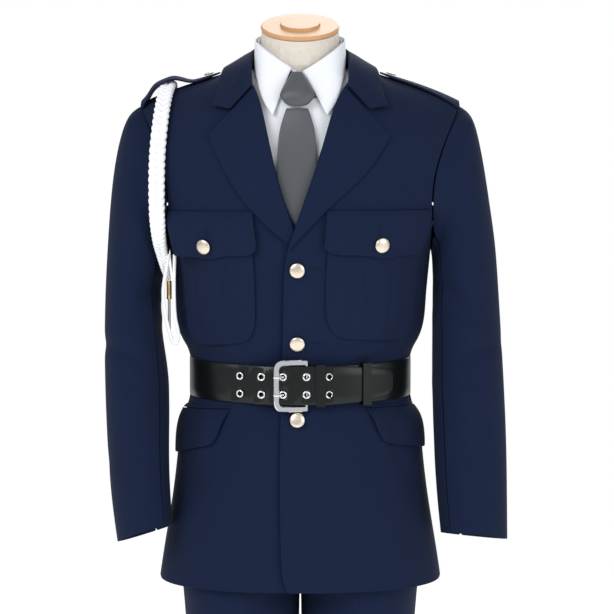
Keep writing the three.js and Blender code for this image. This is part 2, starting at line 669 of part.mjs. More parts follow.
function breastFlap(side) {
  const row = BREAST_FLAP[sideName(side)];
  const stops = [0, 0.06, 0.14, 0.25, 0.36, 0.46, 0.56, 0.66, 0.76, 0.88, 0.94, 1];
  const grid = [0, 0.08, 0.25, 0.6, 1].map((down) => stops.map((across) => {
    const deepest = smooth(FLAP_EDGE, 'across', 'drop', across);
    return flapPoint(side, across, down * deepest, FLAP_LIFT);
  }));
  add(`breast_flap_${sideName(side)}`, sheet(grid, 1.6), navy());
  const x = side * row.buttonX;
  const out = bodyNormal(angleAt(x, row.buttonZ), row.buttonZ);
  const inner = angleAt(side * row.inX, 1210);
  const outer = angleAt(side * row.outX, 1210);
  const across = (angleAt(x, row.buttonZ) - inner) / (outer - inner);
  const splay = flapSplay(side, across, (row.seam - row.buttonZ) / row.deep);
  const seat = onCoat(x, row.buttonZ, FLAP_LIFT + (side < 0 ? 2 : LAY_GAP)).add(vec(-9 * splay, -17 * splay, 0));
  button(`breast_button_${sideName(side)}`, seat, out, BUTTON_R);
}

// The lower pockets: a slanting welt, and a flap below it whose outer corner hangs lower.
const LOWER = {
  left: { inX: 91.5, outAngle: 86, seamIn: 981, seamOut: 977, deepIn: 44, deepOut: 56 },
  right: { inX: 96, outAngle: 86, seamIn: 978.5, seamOut: 973, deepIn: 44, deepOut: 60 },
};
const WELT_HEIGHT = 4.2;

function lowerPocket(side) {
  const row = LOWER[sideName(side)];
  const inner = angleAt(side * row.inX, 965);
  const outer = side * row.outAngle;
  const lifted = (angle, z, lift) => body(angle, z).addScaledVector(bodyNormal(angle, z), lift);
  const flap = [0, 0.25, 0.6, 1].map((down) => [0, 0.05, 0.13, 0.35, 0.6, 0.85, 0.95, 1].map((across) => {
    const corner = cornerDrop(Math.min(across, 1 - across) * 100, 12);
    const deep = mix(row.deepIn, row.deepOut, across) - corner;
    const lean = 0.07 * down * (1 - across);
    const angle = mix(inner, outer, across + lean);
    return lifted(angle, mix(row.seamIn, row.seamOut, across) - deep * down, mix(2.4, 4, ease(down * 3)));
  }));
  add(`lower_flap_${sideName(side)}`, sheet(flap, 1.6), navy());
  const welt = [0, 1].map((up) => steps(7).map((across) => {
    const z = mix(row.seamIn, row.seamOut, across) + 1 + WELT_HEIGHT * up;
    return lifted(mix(inner, outer, across), z, 1.5 + 1.2);
  }));
  add(`lower_welt_${sideName(side)}`, sheet(welt, 1.2), navy());
}

// ---- Shirt --------------------------------------------------------------------------------------

const SHIRT = { inset: 11.5, top: 4.4, hem: 962, neckX: 58, frontDrop: 62, backDrop: 28 };

function shirtBody() {
  const lower = [SHIRT.hem, 984, 1046, 1068, 1092, 1134, ARMPIT_Z];
  const pieces = [
    { name: 'shirt_front_left', side: 1, back: false },
    { name: 'shirt_front_right', side: -1, back: false },
    { name: 'shirt_back', side: 1, back: true },
  ];
  const inset = (z) => mix(SHIRT.inset, 17, ease((984 - z) / 20));
  const rowsOf = (side, back, columns) => {
    const shift = vec(back ? 0 : side * SEAM_GAP / 2, back ? SEAM_GAP / 2 : -SEAM_GAP / 2, 0);
    const facing = (angle) => (back ? side * (180 - angle) : side * angle);
    const low = lower.map((z) => columns.map((across) => body(facing(90 * across), z, inset(z)).add(shift)));
    const drop = neckline(back ? SHIRT.backDrop : SHIRT.frontDrop, SHIRT.neckX);
    const high = steps(6).slice(1).map((up) => columns.map((across) => {
      const at = upperPoint(across, up, () => 0, drop, SHIRT.inset, SHIRT.top);
      return body(facing(at.angle), at.z, SHIRT.inset, SHIRT.top).add(shift);
    }));
    return [...low, ...high];
  };
  for (const { name, side, back } of pieces) {
    const columns = steps(9);
    let grid = rowsOf(side, back, columns);
    if (back) {
      const other = rowsOf(-1, true, columns);
      grid = grid.map((row, r) => [...row.slice().reverse(), ...other[r].slice(1)]);
    }
    const seams = (r, c, rows, count) => {
      if (r === rows - 1 && Math.abs(grid[r][c].y) < 1) return 'y';
      if (!back && c === 0) return 'x';
      if (r >= lower.length) return null;
      return c === count - 1 || (back && c === 0) ? 'y' : null;
    };
    add(name, sheet(grid, SHIRT_CLOTH, { seams }), white());
  }
}

// The neck as seen from above: the turn is 0 at the front and 90 at +X.
const NECK = { x: 54, y: 58, back: -1 };
const neckRing = (turn, out, z) => vec(
  (NECK.x + out) * Math.sin(radians(turn)),
  NECK.back - (NECK.y + out) * Math.cos(radians(turn)),
  z,
);
// The fold of the shirt's collar and the edge of its leaf, from the front to the middle of the back.
const SHIRT_COLLAR = [
  { turn: 0, fold: 1415, edgeX: 35, edgeY: -95.5, edgeZ: 1360 },
  { turn: 20, fold: 1427, edgeX: 49, edgeY: -83, edgeZ: 1381 },
  { turn: 45, fold: 1442, edgeX: 57, edgeY: -52, edgeZ: 1411 },
  { turn: 70, fold: 1453, edgeX: 59.3, edgeY: -22, edgeZ: 1415 },
  { turn: 90, fold: 1458, edgeX: 59.3, edgeY: -2, edgeZ: 1422 },
  { turn: 135, fold: 1466, edgeX: 43.5, edgeY: 43, edgeZ: 1428 },
  { turn: 180, fold: 1470, edgeX: 0, edgeY: 62.3, edgeZ: 1430 },
];
const LEAF_ENDS = { left: 3.5, right: -10.5 };

const around = (turn) => Math.abs(turn > 180 ? turn - 360 : turn);
const foldHeight = (turn) => smooth(SHIRT_COLLAR, 'turn', 'fold', around(turn));

function shirtCollar() {
  const from = LEAF_ENDS.left;
  const to = 360 + LEAF_ENDS.right;
  const centre = vec(0, 0, 1430);
  const leaf = steps(30).map((t) => {
    const turn = mix(from, to, t);
    const side = turn > 180 ? -1 : 1;
    const far = around(turn) - (side > 0 ? from : -LEAF_ENDS.right);
    const fold = neckRing(turn, 5.6, foldHeight(turn));
    const edge = vec(
      side * smooth(SHIRT_COLLAR, 'turn', 'edgeX', far),
      smooth(SHIRT_COLLAR, 'turn', 'edgeY', far),
      smooth(SHIRT_COLLAR, 'turn', 'edgeZ', far),
    );
    return steps(3).map((down) => {
      const p = fold.clone().lerp(edge, down);
      const out = vec(p.x, p.y, 0).normalize();
      return p.addScaledVector(out, 0.8 * Math.sin(Math.PI * down));
    });
  });
  add('shirt_collar_leaf', sheet(leaf, 1.2, { inner: centre }), white());
  const band = (name, out, thick, low, high, ends, look) => {
    const grid = steps(28).map((t) => {
      const turn = mix(ends, 360 - ends, t);
      return [low(turn), high(turn)].map((z) => neckRing(turn, out, z));
    });
    add(name, sheet(grid, thick, { inner: centre }), look);
  };
  band('shirt_collar_stand', 1.6, 0.8, (turn) => foldHeight(turn) - 18, (turn) => foldHeight(turn) - 1.5, 0.4, white());
  band('tie_neck_band', 3, 0.9, (turn) => foldHeight(turn) - 17, (turn) => foldHeight(turn) - 5, 10, steelGrey());
}

// ---- Tie ----------------------------------------------------------------------------------------

const TIE_X = -3.5;
const TIE_KNOT = [
  { z: 1372, half: 12, y: -97, deep: 3.5 },
  { z: 1375, half: 16, y: -97, deep: 6 },
  { z: 1381, half: 22, y: -96, deep: 8 },
  { z: 1388, half: 23.5, y: -94, deep: 8.5 },
  { z: 1397, half: 18.5, y: -88, deep: 8.5 },
  { z: 1407, half: 12, y: -80, deep: 7.5 },
  { z: 1416, half: 6.5, y: -73, deep: 5 },
];
const TIE_BLADE = [
  { z: 1046, half: 1.5, inset: 8.7 },
  { z: 1068, half: 23, inset: 8.7 },
  { z: 1082, half: 36, inset: 8.8 },
  { z: 1120, half: 35, inset: 9 },
  { z: 1175, half: 32, inset: 8.6 },
  { z: 1216, half: 30, inset: 7.6 },
  { z: 1303, half: 26, inset: 6.5 },
  { z: 1341, half: 24, inset: 5.5 },
  { z: 1369, half: 14, inset: 4.5 },
];

function tie() {
  const rings = TIE_KNOT.map((row) => ring(vec(TIE_X, row.y, row.z), vec(row.half, 0, 0), vec(0, row.deep, 0), 12, 2.6));
  add('tie_knot', loft(rings), steelGrey());
  const grid = TIE_BLADE.map((row) => [-1, -0.5, 0, 0.5, 1].map((across) => {
    const x = TIE_X + row.half * across;
    return body(angleAt(x, row.z, row.inset), row.z, row.inset);
  }));
  add('tie_blade', sheet(grid, 1.4), steelGrey());
}

// ---- Trousers -----------------------------------------------------------------------------------

// A section at each height: the side seam, the inner edge of the leg (less than 0 where the two legs' forms run
// into each other above the crotch), and its depth in front and behind.
const TROUSERS = [
  { z: 40, outer: 126, inner: 10, front: 84, back: 86 },
  { z: 220, outer: 131, inner: 9, front: 86, back: 87 },
  { z: 420, outer: 138, inner: 7, front: 88, back: 90 },
  { z: 600, outer: 147, inner: 3, front: 93, back: 97 },
  { z: 690, outer: 152.5, inner: 1.2, front: 98, back: 104 },
  { z: 735, outer: 156.5, inner: 0.6, front: 100, back: 108 },
  { z: 752, outer: 158, inner: -6, front: 101, back: 110 },
  { z: 790, outer: 159, inner: -34, front: 103, back: 114 },
  { z: 850, outer: 158, inner: -74, front: 104, back: 115 },
  { z: 900, outer: 155.5, inner: -106, front: 102, back: 110 },
  { z: 950, outer: 152.5, inner: -128, front: 98, back: 101 },
  { z: 984, outer: 136, inner: -134, front: 89, back: 85 },
  { z: 998, outer: 136, inner: -136, front: 89, back: 85 },
];
const WAISTBAND = { low: 998.3, high: 1036, inset: 8.6 };

function trouserPoint(side, back, across, z) {
  const outer = smooth(TROUSERS, 'z', 'outer', z);
  const inner = smooth(TROUSERS, 'z', 'inner', z);
  const half = (outer - inner) / 2;
  const middle = (outer + inner) / 2;
  const cut = inner >= 0 ? -90 : -(Math.asin(clamp(middle / half, 0, 1) ** (BOXINESS / 2)) * 180) / Math.PI;
  const angle = mix(cut, 90, across);
  const x = Math.max(middle + half * power(Math.sin(radians(angle))), inner >= 0 ? inner : SEAM_GAP / 2);
  const depth = smooth(TROUSERS, 'z', back ? 'back' : 'front', z);
  const y = depth * power(Math.cos(radians(angle))) + SEAM_GAP / 2;
  return vec(side * x, back ? y : -y, z);
}

function trousers() {
  const heights = [40, 230, 420, 600, 690, 735, 760, 790, 850, 900, 945, 984, 998];
  for (const side of [1, -1]) {
    for (const back of [false, true]) {
      const grid = heights.map((z) => steps(8).map((across) => trouserPoint(side, back, across, z)));
      const seams = (r, c, rows, count) => {
        if (c === count - 1) return 'y';
        if (c > 0) return null;
        return heights[r] > 740 ? 'x' : 'y';
      };
      const name = `trouser_${back ? 'back' : 'front'}_${sideName(side)}`;
      add(name, sheet(grid, TROUSER_CLOTH, { inner: vec(side * 78, 0, 760), seams }), navy());
    }
  }
  const band = steps(36).map((t) => {
    const angle = mix(0.4, 359.6, t);
    return [WAISTBAND.low, WAISTBAND.high].map((z) => body(angle, z, WAISTBAND.inset));
  });
  add('trouser_waistband', sheet(band, 1.8), navy());
}

// ---- Belt and buckle ----------------------------------------------------------------------------

const TONGUE_END = 113.6;
const STRAP_START = 2;
const TONGUE = { lift: 9, from: -76, flat: -40 }; // the strap climbs over its own start between these x
// Half the tongue's height towards its end.
const TONGUE_TAPER = [
  { x: 48, half: 25 },
  { x: 77, half: 22.5 },
  { x: 104, half: 18.5 },
  { x: TONGUE_END - 3, half: 16.5 },
  { x: TONGUE_END, half: 14 },
];
const EYELETS = { columns: [-78, -50, -22, 8.4, 37.8], rows: [-11.5, 11.5], radius: 3, prongColumn: 2 };

// A point on the belt's line: the angle runs on past 360 where the tongue lies over the start.
function beltPoint(angle, lift, height) {
  const turned = angle % 360;
  const point = body(turned, BELT.z);
  const normal = bodyNormal(turned, BELT.z).setZ(0).normalize();
  const rise = BELT.rise * (1 - Math.cos(radians(turned)) ** 2);
  return point.addScaledVector(normal, lift).add(vec(0, 0, rise + height));
}

function strapLift(angle) {
  const from = 360 + angleAt(TONGUE.from, BELT.z);
  const flat = 360 + angleAt(TONGUE.flat, BELT.z);
  return mix(BELT.lift, TONGUE.lift, ease((angle - from) / (flat - from))) + BELT.thick;
}

function belt() {
  const start = angleAt(STRAP_START, BELT.z);
  const end = 360 + angleAt(TONGUE_END, BELT.z);
  const around360 = steps(52).map((t) => mix(start, 360 + angleAt(60, BELT.z), t));
  const tip = TONGUE_TAPER.slice(1).map((row) => 360 + angleAt(row.x, BELT.z));
  const grid = [...around360, ...tip].map((angle) => {
    const x = angle > 360 ? beltPoint(angle, 0, 0).x : 0;
    const half = smooth(TONGUE_TAPER, 'x', 'half', x);
    const lift = strapLift(Math.min(angle, end));
    return [-1, 1].map((v) => beltPoint(angle, lift, v * half));
  });
  let strap = toManifold(sheet(grid, BELT.thick));
  EYELETS.columns.forEach((x, i) => EYELETS.rows.forEach((dz) => {
    const radius = i === EYELETS.prongColumn ? EYELETS.radius + 3.4 : EYELETS.radius;
    const angle = x < 0 ? 360 + angleAt(x, BELT.z) : 360 + angleAt(x, BELT.z);
    const at = beltPoint(angle, TONGUE.lift + BELT.thick / 2, dz);
    const out = bodyNormal(angle % 360, BELT.z).setZ(0).normalize();
    const depth = x < TONGUE.flat ? 18 : 5;
    const cutter = new THREE.CylinderGeometry(radius, radius, depth, 12);
    cutter.applyQuaternion(new THREE.Quaternion().setFromUnitVectors(vec(0, 1, 0), out));
    cutter.translate(at.x, at.y, at.z);
    strap = strap.subtract(toManifold(cutter));
  }));
  add('belt_strap', fromManifold(strap), leather());
}

// A keeper is a channel round both layers: a front plate with a lip above and below.
function keeper(name, fromX, toX, half) {
  const outerLift = TONGUE.lift + BELT.thick + 0.4;
  const thick = 1.8;
  const section = (angle) => {
    const p = (lift, height) => beltPoint(angle, lift, height);
    const low = -half - 0.4;
    const high = half + 0.4;
    return [
      p(BELT.lift, low), p(outerLift, low), p(outerLift, high), p(BELT.lift, high),
      p(BELT.lift, high + thick), p(outerLift + thick, high + thick), p(outerLift + thick, low - thick),
      p(BELT.lift, low - thick),
    ];
  };
  const angles = steps(2).map((t) => mix(angleAt(fromX, BELT.z), angleAt(toX, BELT.z), t));
  add(name, channel(angles.map(section)), leather());
}

// A solid through open U-shaped sections whose points run round the U.
function channel(sections) {
  const sides = sections[0].length;
  const points = sections.flat();
  const triangles = [];
  for (let r = 0; r < sections.length - 1; r += 1) {
    for (let c = 0; c < sides; c += 1) {
      const a = r * sides + c;
      const b = r * sides + ((c + 1) % sides);
      triangles.push(a, b, b + sides, a, b + sides, a + sides);
    }
  }
  const caps = [[0, 1, 6], [0, 6, 7], [1, 2, 5], [1, 5, 6], [2, 3, 4], [2, 4, 5]];
  const top = (sections.length - 1) * sides;
  for (const [a, b, c] of caps) {
    triangles.push(a, c, b);
    triangles.push(top + a, top + b, top + c);
  }
  return geometryOf(points, triangles);
}

const BUCKLE = { left: -34.6, right: 10.3, low: 979, high: 1046, bar: 7, pivotBar: 3.6, thick: 3.6 };
const BUCKLE_LIFT = { left: 15, pivot: 6 };
const PRONG_R = 1.4;

function buckle() {
  const { left, right, low, high, bar, pivotBar, thick } = BUCKLE;
  const rounded = (target, x0, z0, x1, z1, rLeft, rRight) => {
    target.moveTo(x0 + rLeft, z0);
    target.lineTo(x1 - rRight, z0);
    target.quadraticCurveTo(x1, z0, x1, z0 + rRight);
    target.lineTo(x1, z1 - rRight);
    target.quadraticCurveTo(x1, z1, x1 - rRight, z1);
    target.lineTo(x0 + rLeft, z1);
    target.quadraticCurveTo(x0, z1, x0, z1 - rLeft);
    target.lineTo(x0, z0 + rLeft);
    target.quadraticCurveTo(x0, z0, x0 + rLeft, z0);
    return target;
  };
  const middle = (low + high) / 2;
  const pivotX = right - pivotBar / 2;
  const outline = rounded(new THREE.Shape(), left - pivotX, low - middle, right - pivotX, high - middle, 14, 3);
  const hole = rounded(new THREE.Path(), left + bar - pivotX, low + bar - middle, right - pivotBar - pivotX,
    high - bar - middle, 7, 1.5);
  outline.holes.push(hole);
  const bevel = 0.9;
  const geometry = new THREE.ExtrudeGeometry(outline, {
    depth: thick - 2 * bevel,
    bevelThickness: bevel,
    bevelSize: bevel,
    bevelOffset: -bevel,
    bevelSegments: 1,
    curveSegments: 5,
  });
  geometry.translate(0, 0, bevel - thick / 2).rotateX(Math.PI / 2);
  const slope = Math.atan2(BUCKLE_LIFT.left - BUCKLE_LIFT.pivot, pivotX - left);
  const mesh = add('buckle_frame', geometry, chrome());
  const belly = body(0, BELT.z).y;
  mesh.rotation.z = slope;
  mesh.position.set(pivotX, belly - BUCKLE_LIFT.pivot, middle);
  return { pivotX, belly, middle };
}

// A tube round a line of points, with rounded steps.
function tube(points, sides, halfWide, halfDeep = halfWide, count = points.length * 4) {
  const shape = new THREE.Shape(ring(vec(0, 0, 0), vec(halfDeep, 0, 0), vec(0, halfWide, 0), sides)
    .map((p) => new THREE.Vector2(p.x, p.y)));
  return new THREE.ExtrudeGeometry(shape, {
    steps: count,
    bevelEnabled: false,
    extrudePath: new THREE.CatmullRomCurve3(points, false, 'centripetal'),
  });
}

function prongs({ pivotX, belly }) {
  const line = [
    [pivotX - 2.4, 6],
    [0, 6.2],
    [-15, 6.4],
    [-19.5, 8.6],
    [-24, 14.5],
    [-29, 18],
    [-34, 18],
  ];
  EYELETS.rows.forEach((dz, i) => {
    const points = line.map(([x, lift]) => vec(x, belly - lift, BELT.z + dz));
    add(`buckle_prong_${i ? 'upper' : 'lower'}`, tube(points, 8, PRONG_R, PRONG_R, 12), chrome());
  });
}

// ---- Lanyard ------------------------------------------------------------------------------------

// The plait's route, down from under the right epaulette, and half its width on the way.
const PLAIT = [
  { at: [-172, 17, 1396.5], half: 10 },
  { at: [-172, 0, 1399.5], half: 10 },
  { at: [-173, -21, 1397], half: 10 },
  { at: [-176, -49, 1382], half: 10 },
  { at: [-180, -72, 1351], half: 10.2 },
  { at: [-183.5, -82, 1310], half: 10.4 },
  { at: [-184.5, -86.5, 1268], half: 10.4 },
  { at: [-184, -85, 1228], half: 10 },
  { at: [-182, -76, 1200], half: 9 },
  { at: [-179, -66, 1180], half: 7.5 },
  { at: [-175, -61.5, 1160], half: 5.5 },
  { at: [-171, -60, 1146], half: 3.4 },
];
const PLAIT_DEEP = 3.2;
const FERRULE = { x: -170.2, y: -60, low: 1121, high: 1145.2, radius: 3.4 };
const CLIP = { low: 1079, radius: 2 };
const CORD_R = 2.3;
const CORD_LOOP = [
  [-162.5, -68, 1180],
  [-163.5, -69, 1140],
  [-162.5, -68, 1102],
  [-158.5, -66.5, 1080],
  [-158.5, -66, 1069],
  [-163, -66, 1063.5],
  [-168, -66.5, 1073],
  [-175, -68, 1102],
  [-177.5, -69, 1132],
  [-173, -69, 1163],
  [-169.5, -68, 1180],
];

function lanyard() {
  const middle = PLAIT.map((row) => vec(...row.at));
  const count = 30;
  const rings = steps(count).map((t) => {
    const at = through(middle, t);
    const tangent = through(middle, Math.min(1, t + 0.01)).sub(through(middle, Math.max(0, t - 0.01))).normalize();
    const wide = vec(1, 0, 0).addScaledVector(tangent, -tangent.x).normalize();
    const deep = wide.clone().cross(tangent).normalize();
    const half = through(PLAIT.map((row) => vec(row.half, 0, 0)), t).x;
    return ring(at, wide.multiplyScalar(half), deep.multiplyScalar(PLAIT_DEEP), 8, 2.6);
  });
  add('lanyard_plait', loft(rings.reverse()), white());
  const ferrule = new THREE.CylinderGeometry(FERRULE.radius, FERRULE.radius, FERRULE.high - FERRULE.low, 12);
  ferrule.rotateX(Math.PI / 2);
  add('lanyard_ferrule', ferrule, brass()).position.set(FERRULE.x, FERRULE.y, (FERRULE.low + FERRULE.high) / 2);
  const clip = new THREE.CylinderGeometry(CLIP.radius, CLIP.radius, FERRULE.low - CLIP.low - 0.3, 8);
  clip.rotateX(Math.PI / 2);
  add('lanyard_clip', clip, steel()).position.set(FERRULE.x, FERRULE.y, (FERRULE.low - 0.3 + CLIP.low) / 2);
  add('lanyard_cord', tube(CORD_LOOP.map((p) => vec(...p)), 8, CORD_R, CORD_R, 28), white());
}

// ---- Dress form and stand -----------------------------------------------------------------------

const FORM = { inset: 22.5, top: 16, widest: 160, low: 812 };
// Below the waist the form ends in a rounded block inside the trousers.
const FORM_BASE = [
  { z: 812, half: 122, front: 66, back: 78 },
  { z: 826, half: 137, front: 80, back: 93 },
  { z: 850, half: 144, front: 88, back: 100 },
  { z: 900, half: 145, front: 92, back: 102 },
  { z: 945, half: 141, front: 89, back: 92 },
  { z: 972, half: 131, front: 85, back: 81 },
];
const CAP = { radius: 51.5, thick: 6.3, disc: 26.5, discThick: 3.5, z: 1474, y: -3, tilt: 19 };
const STAND = { baseR: 170, baseThick: 12, poleR: 12, poleX: 71 };

function formTorso() {
  const ringAt = (z) => {
    const base = z < 984;
    const read = (key) => (base ? smooth(FORM_BASE, 'z', key, z) : smooth(COAT, 'z', key, z) - FORM.inset);
    let widest = Math.min(read('half'), FORM.widest);
    while (widest > 20 && crest(widest) - FORM.top < z + 0.4) widest -= 0.25;
    return steps(24).slice(0, 24).map((t) => {
      const turn = 2 * Math.PI * t;
      const x = widest * power(Math.sin(turn));
      const depth = read(Math.cos(turn) > 0 ? 'front' : 'back');
      return vec(x, -depth * power(Math.cos(turn)) * arch((crest(x) - FORM.top - z) / SHOULDER_FALL), z);
    });
  };
  const heights = [FORM.low, 826, 850, 900, 945, 972, 984, 1046, 1075, 1092, 1134, 1175, 1200, 1250, 1300, 1340, 1360,
    1372, 1380, 1388, 1396, 1404, 1411, 1417];
  const torso = toManifold(loft(heights.map(ringAt)));
  const top = CAP.z - CAP.thick / 2 - 0.4;
  const lean = Math.tan(radians(CAP.tilt));
  const neckAt = (z, radiusX, radiusY, y, slope) => ring(vec(0, y, z), vec(radiusX, 0, 0), vec(0, radiusY, 0), 24)
    .map((p) => p.setZ(z + (p.y - y) * slope));
  const neck = toManifold(loft([
    neckAt(1340, 50, 50, 2, 0),
    neckAt(1385, 50, 50, 3, 0),
    neckAt(1430, 52.4, 55.6, -1, 0.1),
    neckAt(top, 50.5, 50.5 * Math.cos(radians(CAP.tilt)), CAP.y, lean),
  ]));
  add('form_torso', fromManifold(torso.add(neck)), linen());
}

function formCap() {
  const profile = [
    [0, -CAP.thick / 2], [CAP.radius - 1.5, -CAP.thick / 2], [CAP.radius, -CAP.thick / 2 + 1.5],
    [CAP.radius, CAP.thick / 2 - 1.5], [CAP.radius - 1.5, CAP.thick / 2], [CAP.disc, CAP.thick / 2],
    [CAP.disc - 0.8, CAP.thick / 2 + CAP.discThick], [0, CAP.thick / 2 + CAP.discThick],
  ].map(([r, h]) => new THREE.Vector2(r, h));
  const geometry = new THREE.LatheGeometry(profile, 24).rotateX(Math.PI / 2).rotateX(radians(CAP.tilt));
  add('form_cap', geometry, wood()).position.set(0, CAP.y, CAP.z);
}

function stand() {
  const pole = new THREE.CylinderGeometry(STAND.poleR, STAND.poleR, FORM.low - STAND.baseThick - 0.6, 16);
  pole.rotateX(Math.PI / 2);
  const middle = (FORM.low + STAND.baseThick) / 2;
  add('stand_pole', pole, steel()).position.set(STAND.poleX, 0, middle);
  const { baseR, baseThick } = STAND;
  const profile = [[0, 0], [baseR, 0], [baseR, baseThick - 2], [baseR - 2, baseThick], [0, baseThick]]
    .map(([r, h]) => new THREE.Vector2(r, h));
  add('stand_base', new THREE.LatheGeometry(profile, 28).rotateX(Math.PI / 2), steel());
}

// ---- The whole ----------------------------------------------------------------------------------

for (const side of [1, -1]) {
  coatFront(side);
  coatBack(side);
  sleeve(side);
  lapel(side);
  epaulette(side);
  breastPocket(side);
  breastFlap(side);
  lowerPocket(side);
}
collar();
FRONT_BUTTONS.heights.forEach((z, i) => {
  const out = bodyNormal(angleAt(FRONT_BUTTONS.x, z), z);
  const seat = onCoat(FRONT_BUTTONS.x, z, LAY_GAP).add(vec(0, -SEAM_GAP / 2, 0));
  button(`front_button_${i + 1}`, seat, out, BUTTON_R);
});
shirtBody();
shirtCollar();
tie();
trousers();
belt();
keeper('belt_keeper_fixed', 20, 31.5, 25);
keeper('belt_keeper_loose', 77, 87, 25);
prongs(buckle());
lanyard();
formTorso();
formCap();
stand();

export default uniform;
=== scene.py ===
"""A security guard uniform on a limbless dress form: the looks of every piece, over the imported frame."""
import json
import math

import bmesh
import bpy
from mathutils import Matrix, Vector


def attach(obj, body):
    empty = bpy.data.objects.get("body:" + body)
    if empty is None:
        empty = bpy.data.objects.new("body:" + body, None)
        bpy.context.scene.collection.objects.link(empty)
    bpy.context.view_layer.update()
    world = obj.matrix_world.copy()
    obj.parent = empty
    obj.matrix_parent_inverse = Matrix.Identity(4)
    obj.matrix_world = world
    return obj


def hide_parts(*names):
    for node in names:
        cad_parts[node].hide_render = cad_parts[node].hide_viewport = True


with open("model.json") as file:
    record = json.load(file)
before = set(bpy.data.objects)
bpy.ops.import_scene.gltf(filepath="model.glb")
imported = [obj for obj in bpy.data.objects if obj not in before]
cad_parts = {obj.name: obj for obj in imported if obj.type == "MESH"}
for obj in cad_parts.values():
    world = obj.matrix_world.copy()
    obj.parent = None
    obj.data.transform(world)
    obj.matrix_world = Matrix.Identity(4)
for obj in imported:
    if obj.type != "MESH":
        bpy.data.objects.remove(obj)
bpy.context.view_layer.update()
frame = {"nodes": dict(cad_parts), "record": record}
MM = 0.001

# ---- Camera, level with the shoulders and looking a little down ------------------------------------

EYE = Vector((0.009, -3.5, 1.39))
AIM = Vector((0.009, 0, 1.106))
VIEW_ANGLE = math.radians(13.2)
FARTHEST_SEEN = 20


def make_camera():
    data = bpy.data.cameras.new("camera")
    data.angle = VIEW_ANGLE
    data.clip_end = FARTHEST_SEEN
    camera = bpy.data.objects.new("camera", data)
    bpy.context.scene.collection.objects.link(camera)
    camera.location = EYE
    camera.rotation_euler = (AIM - EYE).to_track_quat("-Z", "Y").to_euler()
    bpy.context.scene.camera = camera


make_camera()

# ---- Materials -------------------------------------------------------------------------------------


def material(name, color, roughness, metallic=0.0, sheen=0.0, gloss=0.5):
    """A material of one colour, to which relief and mottling are added."""
    mat = bpy.data.materials.new(name)
    mat.use_nodes = True
    shader = mat.node_tree.nodes["Principled BSDF"]
    shader.inputs["Base Color"].default_value = (*color, 1)
    shader.inputs["Roughness"].default_value = roughness
    shader.inputs["Metallic"].default_value = metallic
    shader.inputs["Specular IOR Level"].default_value = gloss
    shader.inputs["Sheen Weight"].default_value = sheen
    shader.inputs["Sheen Roughness"].default_value = 0.6
    return mat


def add_bump(mat, kind, scale, strength, distance, turn=0.0):
    """A fine relief: noise, or the slanting ribs of a twill."""
    nodes, links = mat.node_tree.nodes, mat.node_tree.links
    place = nodes.new("ShaderNodeTexCoord")
    mapping = nodes.new("ShaderNodeMapping")
    mapping.inputs["Rotation"].default_value = (0, turn, 0)
    texture = nodes.new(kind)
    texture.inputs["Scale"].default_value = scale
    bump = nodes.new("ShaderNodeBump")
    bump.inputs["Strength"].default_value = strength
    bump.inputs["Distance"].default_value = distance
    links.new(place.outputs["Object"], mapping.inputs["Vector"])
    links.new(mapping.outputs["Vector"], texture.inputs["Vector"])
    height = texture.outputs["Fac"] if "Fac" in texture.outputs else texture.outputs["Color"]
    links.new(height, bump.inputs["Height"])
    links.new(bump.outputs["Normal"], nodes["Principled BSDF"].inputs["Normal"])
    return texture


def mottle(mat, color, other, scale):
    """A soft change of colour over the surface."""
    nodes, links = mat.node_tree.nodes, mat.node_tree.links
    place = nodes.new("ShaderNodeTexCoord")
    noise = nodes.new("ShaderNodeTexNoise")
    noise.inputs["Scale"].default_value = scale
    ramp = nodes.new("ShaderNodeValToRGB")
    ramp.color_ramp.elements[0].color = (*color, 1)
    ramp.color_ramp.elements[1].color = (*other, 1)
    links.new(place.outputs["Object"], noise.inputs["Vector"])
    links.new(noise.outputs["Fac"], ramp.inputs["Fac"])
    links.new(ramp.outputs["Color"], nodes["Principled BSDF"].inputs["Base Color"])


def make_materials():
    looks = {
        "navy_cloth": material("navy", (0.0040, 0.0100, 0.034), 0.9, sheen=0.01, gloss=0.16),
        "white_cloth": material("white", (0.80, 0.82, 0.86), 0.8),
        "tie_cloth": material("tie", (0.062, 0.068, 0.078), 0.40, sheen=0.05),
        "white_cord": material("cord", (0.83, 0.84, 0.86), 0.75),
        "belt_leather": material("leather", (0.004, 0.005, 0.005), 0.30, gloss=0.3),
        "chrome": material("chrome", (0.80, 0.82, 0.84), 0.12, 1.0),
        "button_metal": material("button", (0.72, 0.64, 0.52), 0.32, 1.0),
        "brass": material("brass", (0.70, 0.48, 0.20), 0.3, 1.0),
        "form_linen": material("linen", (0.66, 0.61, 0.53), 0.95),
        "form_wood": material("wood", (0.60, 0.33, 0.15), 0.4),
        "stand_metal": material("steel", (0.45, 0.46, 0.48), 0.35, 1.0),
    }
    add_bump(looks["navy_cloth"], "ShaderNodeTexNoise", 900, 0.5, 0.0008)
    mottle(looks["navy_cloth"], (0.0034, 0.0088, 0.031), (0.0048, 0.0116, 0.038), 420)
    add_bump(looks["white_cloth"], "ShaderNodeTexNoise", 1800, 0.15, 0.0002)
    weave = add_bump(looks["tie_cloth"], "ShaderNodeTexWave", 260, 0.4, 0.0003, math.radians(35))
    weave.bands_direction = "X"
    add_bump(looks["belt_leather"], "ShaderNodeTexNoise", 900, 0.12, 0.0003)
    add_bump(looks["button_metal"], "ShaderNodeTexVoronoi", 700, 0.25, 0.0004)
    add_bump(looks["form_linen"], "ShaderNodeTexNoise", 900, 0.6, 0.0006)
    mottle(looks["form_linen"], (0.58, 0.52, 0.44), (0.72, 0.67, 0.60), 160)
    mottle(looks["form_wood"], (0.50, 0.25, 0.10), (0.68, 0.40, 0.20), 22)
    return looks


